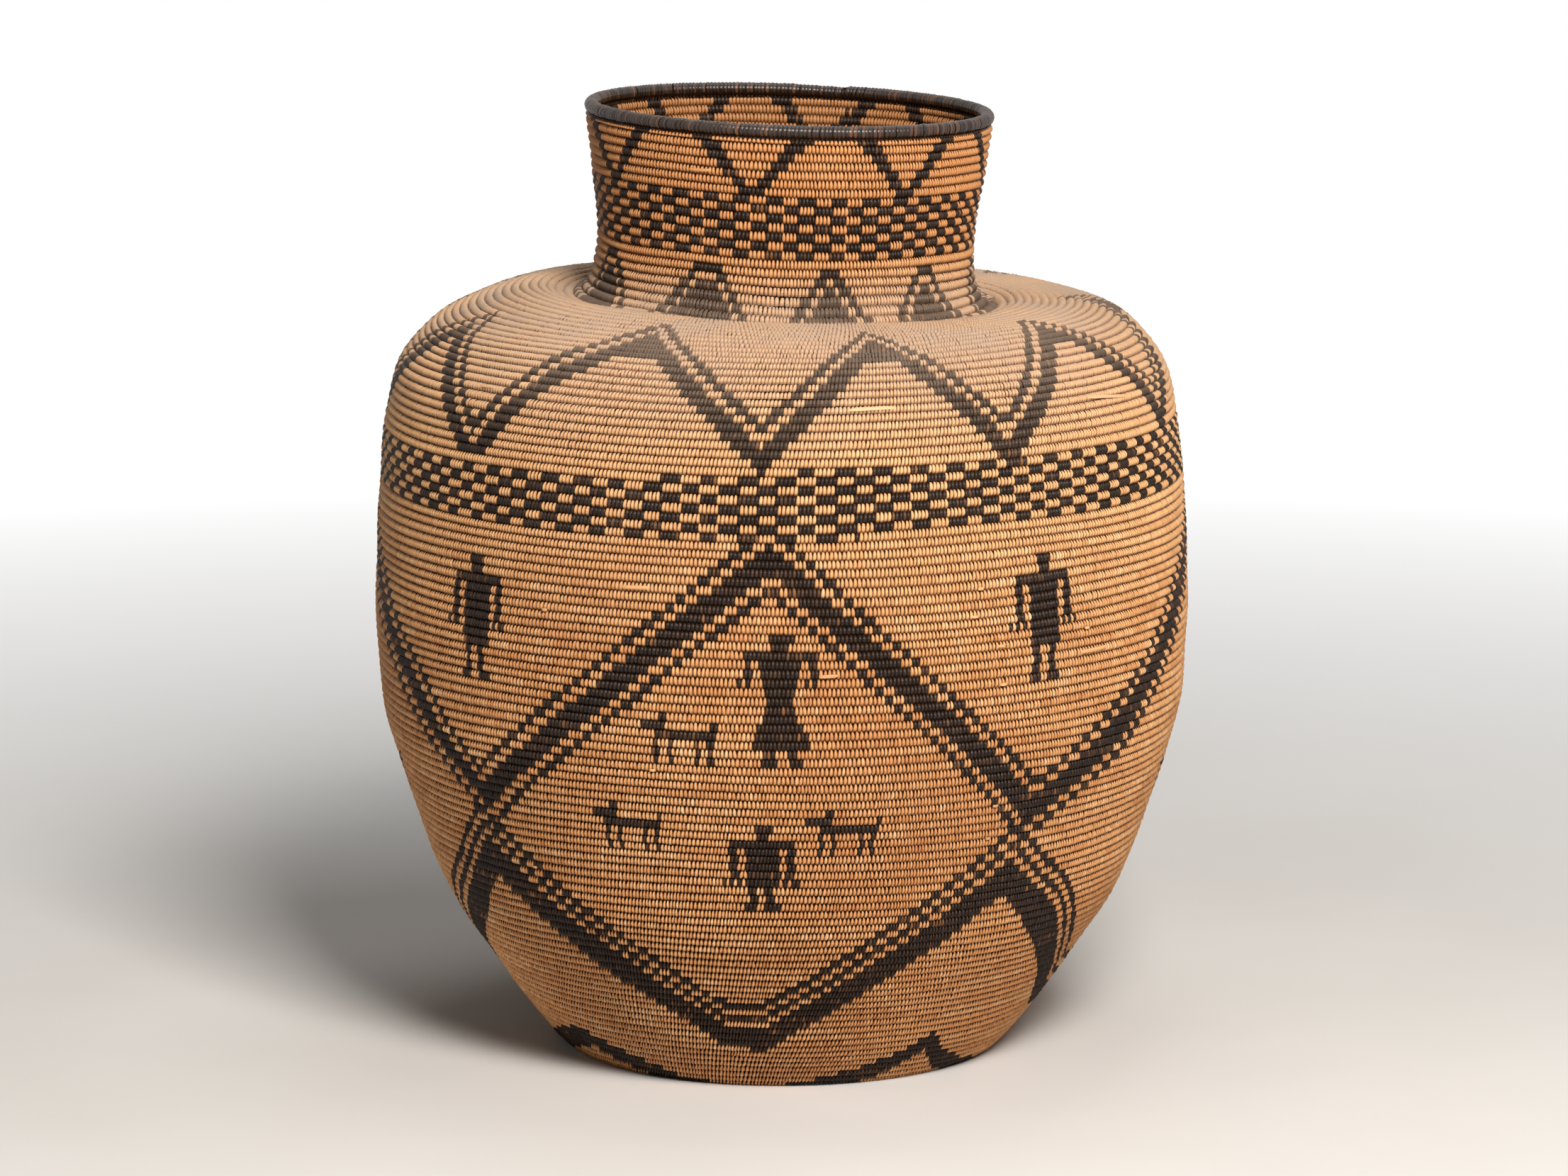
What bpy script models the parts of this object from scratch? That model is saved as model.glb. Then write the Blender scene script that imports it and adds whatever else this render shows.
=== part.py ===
"""A coiled storage olla: a wide bellied basket with a straight neck, sewn in willow and devil's claw.

Metres, +Z up. The origin is on the floor, under the middle of the base. The real wall is a single
coil of three rods that spirals out from a starting knot, up the wall and round the mouth. Here the
coil is cut into stretches where its pattern changes. Each stretch seats on the one below it along
the spiral, and its end faces meet the next stretch's in a step one course high.
"""

import math

import bmesh
import bpy
from mathutils import Matrix, Vector

# The coil
COURSE_HEIGHT = 0.00515
COIL_THICKNESS = 0.0058
RIB_DEPTH = 0.0018
FOOT_WEAR = 0.0005
SEAT_GAP = 0.0003

# The base, which stands on a worn ring and is hollowed a little inside it
FOOT_INNER_RADIUS = 0.094
FOOT_WIDTH = 0.03
FOOT_OUTER_RADIUS = FOOT_INNER_RADIUS + FOOT_WIDTH
BASE_HOLLOW = 0.003

# The belly, and the crest that the shoulder ends in
BELLY_RADIUS = 0.2403
BELLY_HEIGHT = 0.262
CREST_RADIUS = 0.143
CREST_HEIGHT = 0.4498

# The dip behind the crest, at the root of the neck
DIP_WIDTH = 0.017
DIP_DEPTH = 0.0035
DIP_RADIUS = CREST_RADIUS - DIP_WIDTH
DIP_HEIGHT = CREST_HEIGHT - DIP_DEPTH

# The neck, which draws in from the dip to a waist and flares from there to its mouth
WAIST_INSET = 0.0147
WAIST_RISE = 0.0282
MOUTH_FLARE = 0.008
MOUTH_RISE = 0.0728
WAIST_RADIUS = DIP_RADIUS - WAIST_INSET
WAIST_HEIGHT = CREST_HEIGHT + WAIST_RISE
MOUTH_RADIUS = WAIST_RADIUS + MOUTH_FLARE
MOUTH_HEIGHT = WAIST_HEIGHT + MOUTH_RISE

# The neck leans to the right, about a pivot below the crest, and the lean fades out down the shoulder
LEAN_DEGREES = 1.9
LEAN_PIVOT_DROP = 0.0298

# The rim coil and the three rods inside it
RIM_COIL_RADIUS = 0.004
SPLINT_THICKNESS = 0.0006

# The outline between the named radii, as (share of the radius step, share of the height step)
LOWER_WALL_SHARES = (
    (0.080, 0.018),
    (0.255, 0.110),
    (0.420, 0.215),
    (0.582, 0.321),
    (0.716, 0.435),
    (0.808, 0.556),
    (0.897, 0.678),
    (0.968, 0.802),
)
SHOULDER_SHARES = (
    (0.016, 0.260),
    (0.053, 0.528),
    (0.103, 0.704),
    (0.160, 0.789),
    (0.264, 0.859),
    (0.393, 0.919),
    (0.547, 0.958),
    (0.714, 0.983),
)
NECK_FOOT_SHARES = ((0.560, 0.110), (0.860, 0.330), (0.970, 0.630))
NECK_SHARES = ((0.130, 0.290), (0.500, 0.560), (0.840, 0.830))

# Where each stretch of the coil ends: a section of the outline, and the share of it below the end
STRETCH_END_SHARES = (
    ("start_knot", "base", 0.165, "worn"),
    ("base_coils", "base", 0.988, "worn"),
    ("foot_coils", "foot", 1.0, "flat"),
    ("heel_coils", "lower wall", 0.087, "worn"),
    ("base_point_coils", "lower wall", 0.174, "full"),
    ("lower_zigzag_coils", "lower wall", 0.365, "full"),
    ("upper_zigzag_coils", "lower wall", 0.627, "full"),
    ("lower_net_coils", "lower wall", 0.958, "full"),
    ("upper_net_coils", "shoulder", 0.328, "full"),
    ("check_band_coils", "shoulder", 0.497, "full"),
    ("shoulder_zigzag_coils", "shoulder", 0.7075, "full"),
    ("shoulder_top_coils", "shoulder", 0.96, "full"),
    ("ledge_coils", "neck foot", 0.377, "full"),
    ("neck_foot_coils", "neck foot", 1.0, "full"),
    ("neck_check_coils", "neck", 0.507, "full"),
    ("mouth_coils", "neck", 1.0, "full"),
)

# Each rib's points, as shares of a course from its lower valley: the ridge or the worn flat
RIDGE_SHARES = (0.5,)
FLAT_SHARES = (0.22, 0.78)

# The faces
COLUMNS = 18
CURVE_STEPS = 24
COURSES_PER_LINING_RING = 7
RIM_COLUMNS = COLUMNS
RIM_TAIL_COLUMNS = 1
RIM_SIDES = 8
ROD_SIDES = 4
TAIL_END_SHARE = 0.35

# The seam of the spiral is at the back, a little to the right
SEAM_DEGREES = 72.0
TURN = 2 * math.pi


def clear_scene():
    for item in list(bpy.data.objects):
        bpy.data.objects.remove(item)


def make_material(name, colour, roughness):
    material = bpy.data.materials.new(name)
    material.use_nodes = True
    shader = material.node_tree.nodes["Principled BSDF"]
    shader.inputs["Base Color"].default_value = (*colour, 1.0)
    shader.inputs["Roughness"].default_value = roughness
    return material


def blend(start, end, share):
    return start + (end - start) * share


def between(start, end, shares):
    """Points between two (radius, height) corners, at shares of each step."""
    return [(blend(start[0], end[0], a), blend(start[1], end[1], b)) for a, b in shares]


def smooth_curve(points, steps):
    """A Catmull-Rom curve through the points, which starts out level."""
    first = (2 * points[0][0] - points[1][0], points[1][1])
    last = (2 * points[-1][0] - points[-2][0], 2 * points[-1][1] - points[-2][1])
    ring = [Vector(point) for point in (first, *points, last)]
    curve = []
    for a, b, c, d in zip(ring, ring[1:], ring[2:], ring[3:]):
        for step in range(steps):
            t = step / steps
            near = b * 2 + (c - a) * t
            far = (a * 2 - b * 5 + c * 4 - d) * t**2 + (b * 3 - a - c * 3 + d) * t**3
            curve.append((near + far) / 2)
    curve.append(Vector(points[-1]))
    return curve


def base_curve(steps):
    """The underside from its middle to the ring that it stands on."""
    points = []
    for step in range(steps):
        share = step / steps
        rise = BASE_HOLLOW * (1 + math.cos(math.pi * share)) / 2
        points.append(Vector((FOOT_INNER_RADIUS * share, rise - FOOT_WEAR)))
    return points


def outline_sections():
    """The corners and in-between points of each section, as (radius, height), up to the mouth."""
    foot = (FOOT_OUTER_RADIUS, -FOOT_WEAR)
    belly = (BELLY_RADIUS, BELLY_HEIGHT)
    crest = (CREST_RADIUS, CREST_HEIGHT)
    dip = (DIP_RADIUS, DIP_HEIGHT)
    waist = (WAIST_RADIUS, WAIST_HEIGHT)
    mouth = (MOUTH_RADIUS, MOUTH_HEIGHT)
    return {
        "foot": [foot],
        "lower wall": [*between(foot, belly, LOWER_WALL_SHARES), belly],
        "shoulder": [*between(belly, crest, SHOULDER_SHARES), crest],
        "neck foot": [dip, *between(dip, waist, NECK_FOOT_SHARES), waist],
        "neck": [*between(waist, mouth, NECK_SHARES), mouth],
    }


class Outline:
    """The wall's outer side, measured by its length from the middle of the base."""

    def __init__(self, sections):
        ring = Vector((FOOT_INNER_RADIUS, -FOOT_WEAR))
        wall = [point for section in sections.values() for point in section]
        self.points = base_curve(CURVE_STEPS) + [ring] + smooth_curve(wall, CURVE_STEPS)
        self.lengths = [0.0]
        for a, b in zip(self.points, self.points[1:]):
            self.lengths.append(self.lengths[-1] + (b - a).length)
        self.total = self.lengths[-1]
        self.spans = self.measure_sections(sections)
        self.lean_start = self.length_above_belly((BELLY_RADIUS + CREST_RADIUS) / 2)
        self.lean_end = self.length_above_belly(CREST_RADIUS)

    def measure_sections(self, sections):
        """The length at which each section starts and ends."""
        spans = {"base": (0.0, self.lengths[CURVE_STEPS])}
        first = CURVE_STEPS
        for name, section in sections.items():
            steps = 1 if name == "foot" else CURVE_STEPS * len(section)
            spans[name] = (self.lengths[first], self.lengths[first + steps])
            first += steps
        return spans

    def length_above_belly(self, radius):
        """Where the wall first draws in to this radius, above the belly."""
        stations = zip(self.lengths, self.points)
        return next(length for length, p in stations if p.y > BELLY_HEIGHT and p.x < radius)

    def step_at(self, length):
        low, high = 0, len(self.lengths) - 2
        while low < high:
            middle = (low + high + 1) // 2
            if self.lengths[middle] <= length:
                low = middle
            else:
                high = middle - 1
        return low

    def slope(self, step):
        return (self.points[step + 1] - self.points[step]).normalized()

    def place(self, length, depth, angle):
        """A point of the wall: so far along the outline, so deep behind it, at this angle."""
        step = self.step_at(length)
        share = (length - self.lengths[step]) / (self.lengths[step + 1] - self.lengths[step])
        point = blend(self.points[step], self.points[step + 1], share)
        last = len(self.points) - 2
        before, after = self.slope(max(step - 1, 0)), self.slope(min(step + 1, last))
        along = (before * (1 - share) + self.slope(step) + after * share).normalized()
        point = point + Vector((-along.y, along.x)) * depth
        share = (length - self.lean_start) / (self.lean_end - self.lean_start)
        return lean(turn_round(point, angle, COLUMNS), share)


def turn_round(point, angle, columns):
    """Carries (radius, height) round the axis. The facets lie half outside the true round."""
    radius = point.x / math.sqrt(math.cos(math.pi / columns))
    return Vector((radius * math.cos(angle), radius * math.sin(angle), point.y))


def lean(point, share):
    """Tips a point with the neck: not at all at share 0, fully from share 1."""
    share = min(max(share, 0.0), 1.0)
    pivot = Matrix.Translation((0, 0, CREST_HEIGHT - LEAN_PIVOT_DROP))
    tip = Matrix.Rotation(math.radians(LEAN_DEGREES) * share**2 * (3 - 2 * share), 4, "Y")
    return pivot @ tip @ pivot.inverted() @ point


def seam_angle(column, columns, shift=0.0):
    """The coil climbs clockwise, seen from above."""
    return math.radians(SEAM_DEGREES) - TURN * column / columns - shift


class Stretch:
    """Some courses of the coil as one closed body: ribs outside, a plain lining inside."""

    def __init__(self, outline, pitch, first, last, wear):
        self.outline = outline
        self.pitch = pitch
        self.first = first
        self.last = last
        self.mesh = bmesh.new()
        self.rib = self.rib_points(wear)
        self.per_course = len(self.rib)
        self.level_top = math.isclose(last * pitch, outline.total)
        self.top_course = last - 1 if self.level_top else last
        self.rows = (self.top_course - first) * self.per_course
        self.outer = {}
        self.lining_low = []
        self.lining_high = []

    def rib_points(self, wear):
        """(share of a course, depth) of each point on a rib, from its lower valley."""
        if wear == "flat":
            return [(0.0, RIB_DEPTH)] + [(share, FOOT_WEAR) for share in FLAT_SHARES]
        crown = FOOT_WEAR if wear == "worn" else 0.0
        return [(0.0, RIB_DEPTH)] + [(share, crown) for share in RIDGE_SHARES]

    def vertex(self, course, depth, column, gap=0.0, shift=0.0):
        length = min(max(course * self.pitch + gap, 0.0), self.outline.total)
        reach = max(self.outline.points[self.outline.step_at(length)].x, self.pitch)
        angle = seam_angle(column, COLUMNS, shift / reach)
        return self.mesh.verts.new(self.outline.place(length, depth, angle))

    def face(self, *corners):
        kept = [corner for at, corner in enumerate(corners) if corner is not corners[at - 1]]
        self.mesh.faces.new(kept)

    def clearance(self, column, row):
        """(along the wall, round it): how far a point draws back from the stretches below and above."""
        half = SEAT_GAP / 2
        if self.first > 0 and column == 0 and row <= self.per_course:
            return (half if row in (0, self.per_course) else 0.0), half
        if self.first > 0 and row == 0:
            return half, 0.0
        if not self.level_top and row == self.rows:
            return -half, (0.0 if column else -half)
        return 0.0, 0.0

    def make_outer_rows(self):
        """Each column's points go one course up the spiral over a full turn."""
        for row in range(self.rows + 1):
            share, depth = self.rib[row % self.per_course]
            course = self.first + row // self.per_course + share
            for column in range(COLUMNS):
                gap, shift = self.clearance(column, row)
                turned = course + column / COLUMNS
                self.outer[column, row] = self.vertex(turned, depth, column, gap, shift)
        for extra in range(1, self.per_course + 1):
            self.make_end_row(extra)

    def make_end_row(self, extra):
        """The last points: the step that the next stretch meets, or the tapered end under the rim."""
        row = self.rows + extra
        share, depth = self.rib[extra % self.per_course]
        course = self.top_course + (share if extra < self.per_course else 1)
        if not self.level_top:
            gap = -SEAT_GAP / 2 if extra == self.per_course else 0.0
            self.outer[0, row] = self.vertex(course, depth, 0, gap, -SEAT_GAP / 2)
            return
        for column in range(COLUMNS):
            low = self.top_course + column / COLUMNS
            height = blend(low, self.last, course - self.top_course)
            self.outer[column, row] = self.vertex(height, depth, column)

    def at(self, column, row):
        """A full turn ends one course up, on the first column."""
        if column < COLUMNS:
            return self.outer[column, row]
        top = self.rows + self.per_course
        return self.outer[0, min(row + self.per_course, top)]

    def make_ribs(self):
        top = self.rows + (self.per_course if self.level_top else 0)
        for row in range(top):
            for column in range(COLUMNS):
                corners = (self.at(column, row), self.at(column + 1, row))
                corners += (self.at(column + 1, row + 1), self.at(column, row + 1))
                self.face(*dict.fromkeys(corners))

    def lining_rings(self):
        """Level rings up the inside, between the spiral edges."""
        start = self.first + 1 if self.first > 0 else 0
        span = self.top_course - start
        count = max(round(span / COURSES_PER_LINING_RING), 1)
        rings = []
        for ring in range(count):
            course = start + span * (ring + 0.5) / count
            rings.append([self.vertex(course, COIL_THICKNESS, column) for column in range(COLUMNS)])
        return rings

    def make_lining(self):
        rings = self.lining_rings()
        for low, high in zip(rings, rings[1:]):
            for column in range(COLUMNS):
                after = (column + 1) % COLUMNS
                self.face(low[column], low[after], high[after], high[column])
        self.close_below(rings[0])
        self.close_above(rings[-1])

    def close_below(self, ring):
        if self.first == 0:
            self.close_centre(ring)
            return
        low = []
        for column in range(COLUMNS + 1):
            shift = SEAT_GAP / 2 if column in (0, COLUMNS) else 0.0
            course = self.first + column / COLUMNS
            low.append(self.vertex(course, COIL_THICKNESS, column, SEAT_GAP / 2, shift))
        for column in range(COLUMNS):
            after = (column + 1) % COLUMNS
            corners = [low[column], low[column + 1], ring[after], ring[column]]
            if column == 0:
                corners.append(low[COLUMNS])
            self.face(*corners)
            self.face(self.at(column, 0), self.at(column + 1, 0), low[column + 1], low[column])
        step = [self.outer[0, row] for row in range(self.per_course + 1)]
        self.face(*step, low[COLUMNS], low[0])

    def close_centre(self, ring):
        """The knot's first turn fills its own middle, below and above."""
        middle = self.outer[0, 0]
        for column in range(1, COLUMNS):
            self.face(middle, self.at(column, 0), self.at(column + 1, 0))
        self.face(*(self.outer[0, row] for row in range(self.per_course + 1)))
        top = self.vertex(0, COIL_THICKNESS, 0)
        for column in range(COLUMNS):
            self.face(top, ring[column], ring[(column + 1) % COLUMNS])

    def close_above(self, ring):
        if self.level_top:
            self.close_mouth(ring)
            return
        high = []
        for column in range(COLUMNS + 1):
            shift = -SEAT_GAP / 2 if column in (0, COLUMNS) else 0.0
            course = self.last + column / COLUMNS
            high.append(self.vertex(course, COIL_THICKNESS, column, -SEAT_GAP / 2, shift))
        for column in range(COLUMNS):
            after = (column + 1) % COLUMNS
            corners = [ring[column], ring[after], high[column + 1], high[column]]
            if column == COLUMNS - 1:
                corners.insert(2, high[0])
            self.face(*corners)
            top = (self.at(column, self.rows), self.top_end(column + 1))
            self.face(*top, high[column + 1], high[column])
        step = [self.outer[0, self.rows + extra] for extra in range(self.per_course + 1)]
        self.face(*step, high[COLUMNS], high[0])

    def top_end(self, column):
        if column < COLUMNS:
            return self.outer[column, self.rows]
        return self.outer[0, self.rows + self.per_course]

    def close_mouth(self, ring):
        top = self.rows + self.per_course
        high = [self.vertex(self.last, COIL_THICKNESS, column) for column in range(COLUMNS)]
        for column in range(COLUMNS):
            after = (column + 1) % COLUMNS
            self.face(ring[column], ring[after], high[after], high[column])
            self.face(self.outer[column, top], self.outer[after, top], high[after], high[column])

    def finish(self, name, material, collection):
        self.make_outer_rows()
        self.make_ribs()
        self.make_lining()
        return add_object(name, self.mesh, material, collection)


def add_object(name, mesh, material, collection):
    bmesh.ops.recalc_face_normals(mesh, faces=mesh.faces)
    data = bpy.data.meshes.new(name)
    mesh.to_mesh(data)
    mesh.free()
    data.materials.append(material)
    data.shade_smooth()
    data.set_sharp_from_angle(angle=math.radians(40))
    made = bpy.data.objects.new(name, data)
    collection.objects.link(made)
    return made


def make_wall(outline, collection, willow):
    """Cuts the coil into its stretches, each a whole number of courses."""
    courses = round(outline.total / COURSE_HEIGHT)
    pitch = outline.total / courses
    first = 0
    for name, section, share, wear in STRETCH_END_SHARES:
        last = round(blend(*outline.spans[section], share) / pitch)
        Stretch(outline, pitch, first, last, wear).finish(name, willow, collection)
        first = last
    print(f"coil: {courses} courses, {pitch * 1000:.3f} mm each, outline {outline.total * 1000:.1f} mm")


class RimSeat:
    """The top of the wall, as the frame that the rim coil and its rods are drawn in."""

    def __init__(self, outline):
        self.mouth = outline.points[-1]
        self.up = outline.slope(len(outline.points) - 2)
        self.out = Vector((self.up.y, -self.up.x))
        self.middle = -(RIB_DEPTH + COIL_THICKNESS) / 2

    def ring(self, mesh, angle, radius, sides, offset=(0.0, 0.0), coil_radius=RIM_COIL_RADIUS):
        """One section of the coil or of a rod in it. The coil's lowest side lies flat on the seat."""
        height = SEAT_GAP + coil_radius * math.cos(math.pi / RIM_SIDES)
        ring = []
        for side in range(sides):
            turn = TURN * (side + 0.5) / sides - math.pi / 2
            across = self.middle + offset[0] + radius * math.cos(turn)
            above = height + offset[1] + radius * math.sin(turn)
            point = self.mouth + self.out * across + self.up * above
            ring.append(mesh.verts.new(lean(turn_round(point, angle, RIM_COLUMNS), 1.0)))
        return ring


def join_rings(mesh, rings):
    for low, high in zip(rings, rings[1:]):
        for side in range(len(low)):
            after = (side + 1) % len(low)
            mesh.faces.new((low[side], low[after], high[after], high[side]))


def rim_angles(first, last):
    return [seam_angle(column, RIM_COLUMNS) for column in range(first, last + 1)]


def make_rim_wrapping(seat, collection, claw):
    """The sewn skin of the rim coil: a tube open at both ends, with the rods inside."""
    mesh = bmesh.new()
    angles = rim_angles(0, RIM_COLUMNS - RIM_TAIL_COLUMNS)
    bore = RIM_COIL_RADIUS - SPLINT_THICKNESS
    outer = [seat.ring(mesh, angle, RIM_COIL_RADIUS, RIM_SIDES) for angle in angles]
    inner = [seat.ring(mesh, angle, bore, RIM_SIDES) for angle in angles]
    join_rings(mesh, outer)
    join_rings(mesh, inner)
    for end in (0, -1):
        join_rings(mesh, [outer[end], inner[end]])
    add_object("rim_wrapping", mesh, claw, collection)


def make_coil_end(seat, collection, claw):
    """The coil's tapered end, bound down on the mouth behind the rim's start."""
    mesh = bmesh.new()
    clear = SEAT_GAP / MOUTH_RADIUS
    angles = rim_angles(RIM_COLUMNS - RIM_TAIL_COLUMNS, RIM_COLUMNS)
    angles[0] -= clear
    angles[-1] += clear
    rings = []
    for step, angle in enumerate(angles):
        radius = RIM_COIL_RADIUS * blend(1.0, TAIL_END_SHARE, step / (len(angles) - 1))
        rings.append(seat.ring(mesh, angle, radius, RIM_SIDES, coil_radius=radius))
    join_rings(mesh, rings)
    mesh.faces.new(rings[0])
    mesh.faces.new(rings[-1])
    add_object("coil_end", mesh, claw, collection)


def make_rim_rods(seat, collection, peeled):
    """Three rods bunched in the rim: one above two, each clear of the others and of the skin."""
    bore = (RIM_COIL_RADIUS - SPLINT_THICKNESS) * math.cos(math.pi / RIM_SIDES) - SEAT_GAP
    spread = 2 / math.sqrt(3)
    room = (bore - SEAT_GAP / 2 * spread) / (1 + spread)
    away = room * spread + SEAT_GAP / 2 * spread
    clear = SEAT_GAP / MOUTH_RADIUS
    angles = rim_angles(0, RIM_COLUMNS - RIM_TAIL_COLUMNS)
    angles[0] -= clear
    angles[-1] += clear
    for name, degrees in (("upper_rim_rod", 90), ("outer_rim_rod", 330), ("inner_rim_rod", 210)):
        mesh = bmesh.new()
        turn = math.radians(degrees)
        offset = (away * math.cos(turn), away * math.sin(turn))
        rings = [seat.ring(mesh, angle, room, ROD_SIDES, offset) for angle in angles]
        join_rings(mesh, rings)
        mesh.faces.new(rings[0])
        mesh.faces.new(rings[-1])
        add_object(name, mesh, peeled, collection)


def main():
    clear_scene()
    collection = bpy.data.collections.new("coiled_olla_basket")
    bpy.context.scene.collection.children.link(collection)
    willow = make_material("willow", (0.55, 0.31, 0.14), 0.55)
    claw = make_material("devils_claw", (0.045, 0.030, 0.024), 0.45)
    peeled = make_material("peeled_rod", (0.62, 0.44, 0.25), 0.6)
    outline = Outline(outline_sections())
    seat = RimSeat(outline)
    make_wall(outline, collection, willow)
    make_rim_wrapping(seat, collection, claw)
    make_coil_end(seat, collection, claw)
    make_rim_rods(seat, collection, peeled)


main()
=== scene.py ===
# %% [markdown]
# A coiled storage olla, sewn in willow and devil's claw.
# The maker bunches three willow rods into a coil and winds it up from the base in one long spiral.
# Each turn is bound to the one below with split willow, and the dark figures are stitches of
# split devil's claw. The look of the basket is the look of those seventy thousand stitches, so this
# lesson sews them all: it lays them out along the spiral, picks light or dark by the pattern, and
# gives each one its own small rounded mesh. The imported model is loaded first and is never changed.

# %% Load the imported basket
import math

import bpy
import numpy as np
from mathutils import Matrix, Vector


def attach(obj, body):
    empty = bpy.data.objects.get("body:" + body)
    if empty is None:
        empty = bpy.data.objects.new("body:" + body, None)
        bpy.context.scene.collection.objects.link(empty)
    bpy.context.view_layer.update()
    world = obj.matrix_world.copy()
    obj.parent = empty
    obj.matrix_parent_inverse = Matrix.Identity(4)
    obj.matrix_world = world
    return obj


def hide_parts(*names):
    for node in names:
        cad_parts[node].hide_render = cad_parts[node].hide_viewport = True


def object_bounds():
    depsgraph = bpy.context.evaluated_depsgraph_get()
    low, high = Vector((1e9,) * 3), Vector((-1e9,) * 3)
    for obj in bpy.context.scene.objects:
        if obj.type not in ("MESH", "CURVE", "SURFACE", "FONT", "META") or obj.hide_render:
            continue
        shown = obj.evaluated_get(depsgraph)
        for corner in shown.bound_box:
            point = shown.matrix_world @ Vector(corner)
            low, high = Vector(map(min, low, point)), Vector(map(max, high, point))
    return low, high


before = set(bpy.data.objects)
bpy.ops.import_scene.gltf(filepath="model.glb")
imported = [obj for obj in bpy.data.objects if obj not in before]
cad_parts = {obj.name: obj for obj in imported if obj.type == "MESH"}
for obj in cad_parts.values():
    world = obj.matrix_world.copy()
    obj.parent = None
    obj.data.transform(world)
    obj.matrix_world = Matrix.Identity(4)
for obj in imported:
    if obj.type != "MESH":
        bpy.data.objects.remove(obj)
CAD_LOW, CAD_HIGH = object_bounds()
print("the packed basket is", [round(side, 4) for side in CAD_HIGH - CAD_LOW], "metres")

# %% [markdown]
# The camera stands four metres off with a long lens, a little above the basket, as the
# photographer's did. A far camera keeps the mouth's ellipse flat. The lens follows from the scale:
# one pixel of a picture 2212 pixels wide is 0.42 mm at the basket.

# %% Camera
PICTURE_WIDTH = 2212
MM_PER_PIXEL = 0.42
CAMERA_DISTANCE = 3.99
CAMERA_ELEVATION = math.radians(10.2)
AIM = (0.0013, 0.0, 0.271)
SENSOR_MM = 36.0


def make_camera():
    data = bpy.data.cameras.new("camera")
    data.sensor_width = SENSOR_MM
    data.lens = SENSOR_MM * CAMERA_DISTANCE * 1000 / (PICTURE_WIDTH * MM_PER_PIXEL)
    data.clip_end = 50
    camera = bpy.data.objects.new("camera", data)
    back = CAMERA_DISTANCE * math.cos(CAMERA_ELEVATION)
    up = CAMERA_DISTANCE * math.sin(CAMERA_ELEVATION)
    camera.location = (AIM[0], AIM[1] - back, AIM[2] + up)
    camera.rotation_euler = (math.pi / 2 - CAMERA_ELEVATION, 0, 0)
    bpy.context.scene.collection.objects.link(camera)
    bpy.context.scene.camera = camera
    return data.lens


print("the lens is", round(make_camera(), 1), "mm")

# %% [markdown]
# Every stitch sits on the wall, so the wall comes first, as an outline from the middle of the base
# up to the mouth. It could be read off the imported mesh, but that mesh has eighteen flat sides. The
# same few radii and heights give the true round, through a smooth curve.

# %% The outline's corners
FOOT_WEAR = 0.0005
FOOT_INNER_RADIUS = 0.094
FOOT_OUTER_RADIUS = 0.124
BASE_HOLLOW = 0.003
BELLY = (0.2403, 0.262)
CREST = (0.143, 0.4498)
DIP = (CREST[0] - 0.017, CREST[1] - 0.0035)
WAIST = (DIP[0] - 0.0147, CREST[1] + 0.0282)
MOUTH = (WAIST[0] + 0.008, WAIST[1] + 0.0728)

LOWER_WALL_SHARES = ((0.080, 0.018), (0.255, 0.110), (0.420, 0.215), (0.582, 0.321),
                     (0.716, 0.435), (0.808, 0.556), (0.897, 0.678), (0.968, 0.802))
SHOULDER_SHARES = ((0.016, 0.260), (0.053, 0.528), (0.103, 0.704), (0.160, 0.789),
                   (0.264, 0.859), (0.393, 0.919), (0.547, 0.958), (0.714, 0.983))
NECK_FOOT_SHARES = ((0.560, 0.110), (0.860, 0.330), (0.970, 0.630))
NECK_SHARES = ((0.130, 0.290), (0.500, 0.560), (0.840, 0.830))
CURVE_STEPS = 24


def between(start, end, shares):
    return [(start[0] + (end[0] - start[0]) * a, start[1] + (end[1] - start[1]) * b)
            for a, b in shares]


def wall_corners():
    foot = (FOOT_OUTER_RADIUS, -FOOT_WEAR)
    corners = [foot, *between(foot, BELLY, LOWER_WALL_SHARES), BELLY]
    corners += [*between(BELLY, CREST, SHOULDER_SHARES), CREST, DIP]
    corners += [*between(DIP, WAIST, NECK_FOOT_SHARES), WAIST]
    return np.array(corners + [*between(WAIST, MOUTH, NECK_SHARES), MOUTH])


print("the wall's outline has", len(wall_corners()), "corners")


# %% The outline as one smooth curve
def smooth_curve(corners, steps):
    """A curve through the corners that starts out level."""
    first = (2 * corners[0][0] - corners[1][0], corners[1][1])
    last = 2 * corners[-1] - corners[-2]
    ring = np.vstack([first, corners, last])
    t = (np.arange(steps) / steps)[:, None]
    runs = []
    for a, b, c, d in zip(ring, ring[1:], ring[2:], ring[3:]):
        bend = (a * 2 - b * 5 + c * 4 - d) * t**2 + (b * 3 - a - c * 3 + d) * t**3
        runs.append((b * 2 + (c - a) * t + bend) / 2)
    return np.vstack(runs + [corners[-1:]])


def base_curve(steps):
    share = np.arange(steps) / steps
    rise = BASE_HOLLOW * (1 + np.cos(np.pi * share)) / 2 - FOOT_WEAR
    return np.column_stack([FOOT_INNER_RADIUS * share, rise])


outline = np.vstack([base_curve(CURVE_STEPS), (FOOT_INNER_RADIUS, -FOOT_WEAR),
                     smooth_curve(wall_corners(), CURVE_STEPS)])
steps_along = np.linalg.norm(np.diff(outline, axis=0), axis=1)
lengths = np.concatenate([[0.0], np.cumsum(steps_along)])
WALL_LENGTH = lengths[-1]
print("from the middle of the base to the mouth is", round(WALL_LENGTH, 4), "metres")

# %% [markdown]
# The outline's direction is kept with its points, because a coil is proud of the wall along the
# wall's own normal. The neck leans a little to the right, as a hand-built neck does, and the lean
# fades out down the shoulder. So each point is turned round the axis and then tipped. Where the
# foot stands, the stitches are worn flat, so no point goes below the floor.

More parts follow.
